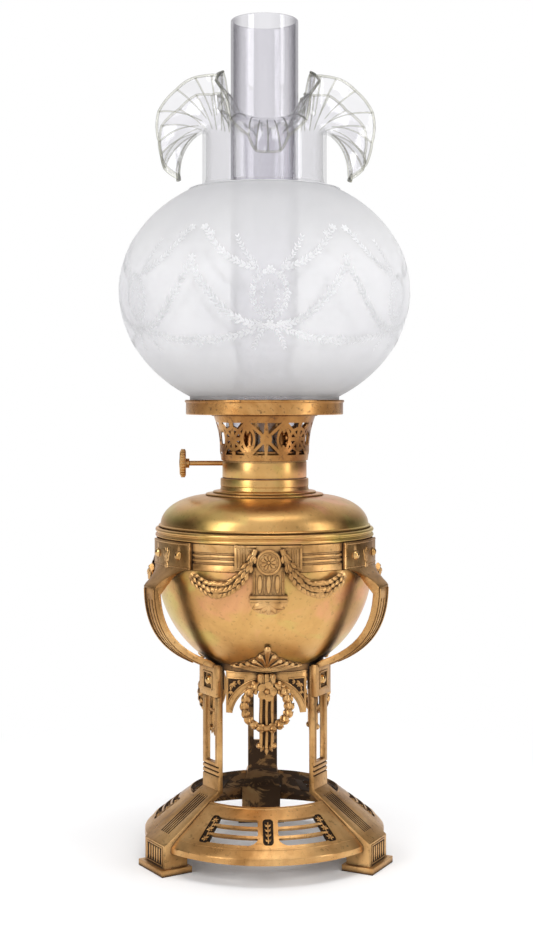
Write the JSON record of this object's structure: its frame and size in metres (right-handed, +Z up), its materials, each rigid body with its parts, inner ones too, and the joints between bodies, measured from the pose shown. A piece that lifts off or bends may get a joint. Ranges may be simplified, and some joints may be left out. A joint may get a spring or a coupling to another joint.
{
  "type": "kerosene table lamp",
  "caption": "Table oil lamp: spun brass bowl on slotted legs with hanging wreaths, drop-in font, round-wick burner, clear chimney and frosted globe with ruffled neck.",
  "frame": {"origin": "on the table under the lamp's axis", "axes": "+Z up along the lamp's axis, -Y towards the front cartouche, +X to the right seen from the front"},
  "size_m": [0.1976, 0.1976, 0.5639],
  "materials": {
    "cast_brass": "satin cast brass, worn bright on edges, brown in recesses",
    "relief_brass": "chased relief, dark patina in the hollows",
    "dark_brass": "unpolished brass with brown and black patina",
    "stud_brass": "polished domed stud",
    "spun_brass": "satin spun brass with faint pink and green heat tint",
    "copper_brass": "reddish brass, spotted",
    "burner_brass": "brown aged brass",
    "washer_leather": "oiled leather",
    "wick_cotton": "woven cotton",
    "clear_glass": "clear blown glass",
    "frosted_glass": "acid-frosted glass with clear neck and ruffle"
  },
  "bodies": {
    "stand": {"leg_back": "cast_brass", "leg_left": "cast_brass", "leg_right": "cast_brass", "arm_back": "cast_brass", "arm_left": "cast_brass", "arm_right": "cast_brass", "base_front": "cast_brass", "base_right": "cast_brass", "base_left": "cast_brass", "arch_front": "cast_brass", "arch_right": "cast_brass", "arch_left": "cast_brass", "wreath_front": "relief_brass", "wreath_right": "relief_brass", "wreath_left": "relief_brass", "palmette_front": "relief_brass", "palmette_right": "relief_brass", "palmette_left": "relief_brass", "support_ring": "dark_brass", "leg_studs": "stud_brass", "leg_nuts": "stud_brass", "arm_studs": "stud_brass", "arm_nuts": "stud_brass", "bowl": "spun_brass", "bowl_lip": "spun_brass", "frieze_front": "relief_brass", "frieze_right": "relief_brass", "frieze_left": "relief_brass", "cartouche_front": "relief_brass", "cartouche_right": "relief_brass", "cartouche_left": "relief_brass", "garlands_front": "relief_brass", "garlands_right": "relief_brass", "garlands_left": "relief_brass"},
    "font": {"font_tank": "spun_brass", "font_shoulder": "spun_brass", "collar_flange": "spun_brass", "font_collar": "spun_brass"},
    "washer": {"sealing_washer": "washer_leather"},
    "burner": {"burner_cup": "spun_brass", "burner_thread": "burner_brass", "air_plate": "burner_brass", "wick_tube": "burner_brass", "draught_tube": "burner_brass"},
    "wick": {"wick": "wick_cotton"},
    "winder": {"wick_spindle": "burner_brass", "wick_knob": "burner_brass", "wick_wheels": "burner_brass"},
    "gallery": {"gallery_basket": "copper_brass", "shade_ring": "copper_brass", "chimney_holder": "copper_brass"},
    "chimney": {"chimney": "clear_glass"},
    "shade": {"shade": "frosted_glass"}
  },
  "joints": [
    {"name": "font_lift", "type": "slide", "parent": "stand", "child": "font", "axis": [0, 0, 1], "range_m": [0, 0.1]},
    {"name": "burner_rise", "type": "slide", "parent": "font", "child": "washer", "axis": [0, 0, 1], "range_m": [0, 0.009]},
    {"name": "burner_unscrew", "type": "hinge", "parent": "washer", "child": "burner", "pos_m": [0, 0, 0.25393], "axis": [0, 0, 1], "range_deg": [0, 1080]},
    {"name": "wick_turn", "type": "hinge", "parent": "burner", "child": "winder", "pos_m": [0, 0.017, 0.26243], "axis": [1, 0, 0], "range_deg": [-80, 160]},
    {"name": "wick_rise", "type": "slide", "parent": "burner", "child": "wick", "axis": [0, 0, 1], "range_m": [-0.0095, 0.005]},
    {"name": "gallery_lift", "type": "slide", "parent": "burner", "child": "gallery", "axis": [0, 0, 1], "range_m": [0, 0.04]},
    {"name": "chimney_lift", "type": "slide", "parent": "gallery", "child": "chimney", "axis": [0, 0, 1], "range_m": [0, 0.3]},
    {"name": "shade_lift", "type": "slide", "parent": "gallery", "child": "shade", "axis": [0, 0, 1], "range_m": [0, 0.28]}
  ],
  "couplings": [
    {"joint": "burner_rise", "follows": "burner_unscrew", "m_per_rad": 0.00047746},
    {"joint": "wick_rise", "follows": "wick_turn", "m_per_rad": -0.0033}
  ]
}
